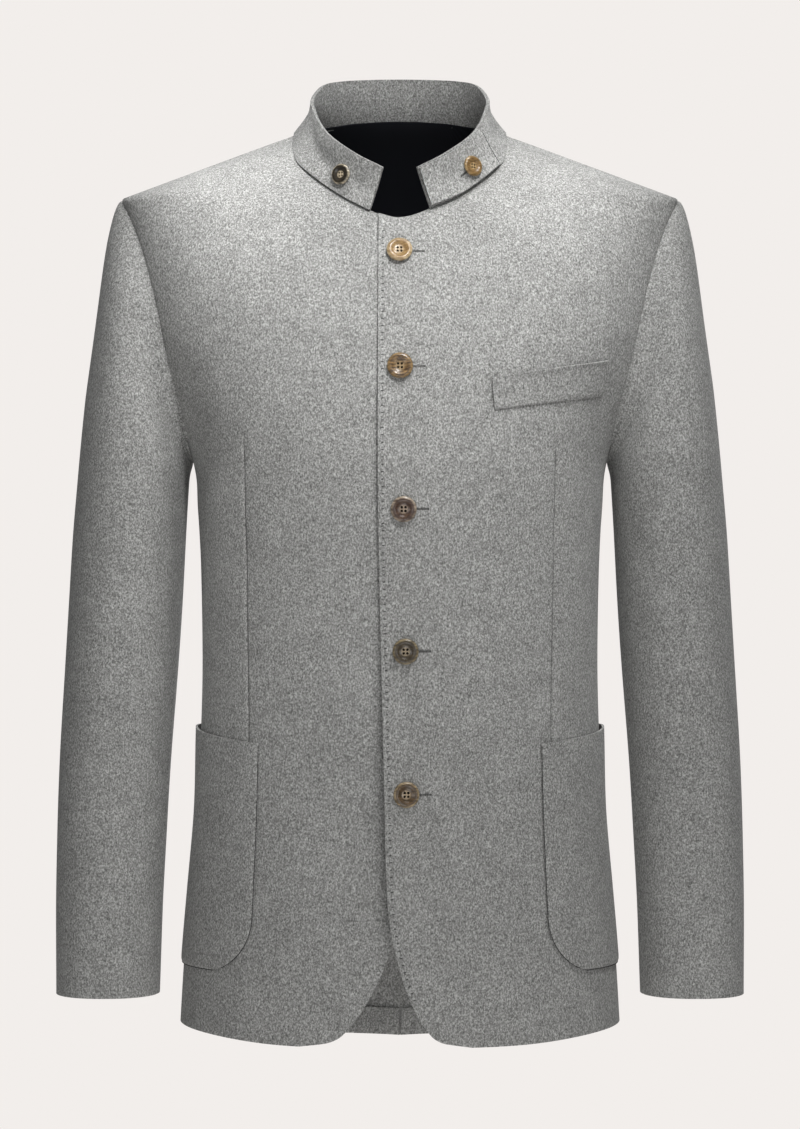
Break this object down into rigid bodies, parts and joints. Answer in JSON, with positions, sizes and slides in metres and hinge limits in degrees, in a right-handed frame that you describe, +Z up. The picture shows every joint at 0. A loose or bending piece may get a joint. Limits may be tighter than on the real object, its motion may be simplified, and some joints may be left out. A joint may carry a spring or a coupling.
{
  "type": "loden jacket",
  "caption": "Grey loden jacket with a stand collar and throat tab, a buttoned lapped front with round corners, patch pockets, a breast welt and two-piece sleeves, filled out as worn.",
  "frame": {"origin": "on the centre line between the neck ends of the two shoulder seams, where the jacket is held on the wearer's shoulders", "axes": "+Z up, the wearer faces -Y, +X is the wearer's left"},
  "size_m": [0.56, 0.2631, 0.8061],
  "materials": {
    "loden_cloth": "matt grey melange wool, milled",
    "lining_cloth": "smooth near-black lining",
    "horn": "polished brown horn with pale streaks"
  },
  "bodies": {
    "root": {"front_right": "loden_cloth", "front_left": "loden_cloth", "back_right": "loden_cloth", "back_left": "loden_cloth", "back_hem_right": "loden_cloth", "back_hem_left": "loden_cloth", "pocket_right": "loden_cloth", "pocket_left": "loden_cloth", "breast_welt": "loden_cloth", "back_lining": "lining_cloth", "upper_sleeve_right": "loden_cloth", "upper_sleeve_left": "loden_cloth", "under_sleeve_right": "loden_cloth", "under_sleeve_left": "loden_cloth", "collar": "loden_cloth", "collar_tab": "loden_cloth", "button_front_1": "horn", "button_front_2": "horn", "button_front_3": "horn", "button_front_4": "horn", "button_front_5": "horn", "button_collar": "horn", "button_tab": "horn"}
  },
  "joints": []
}
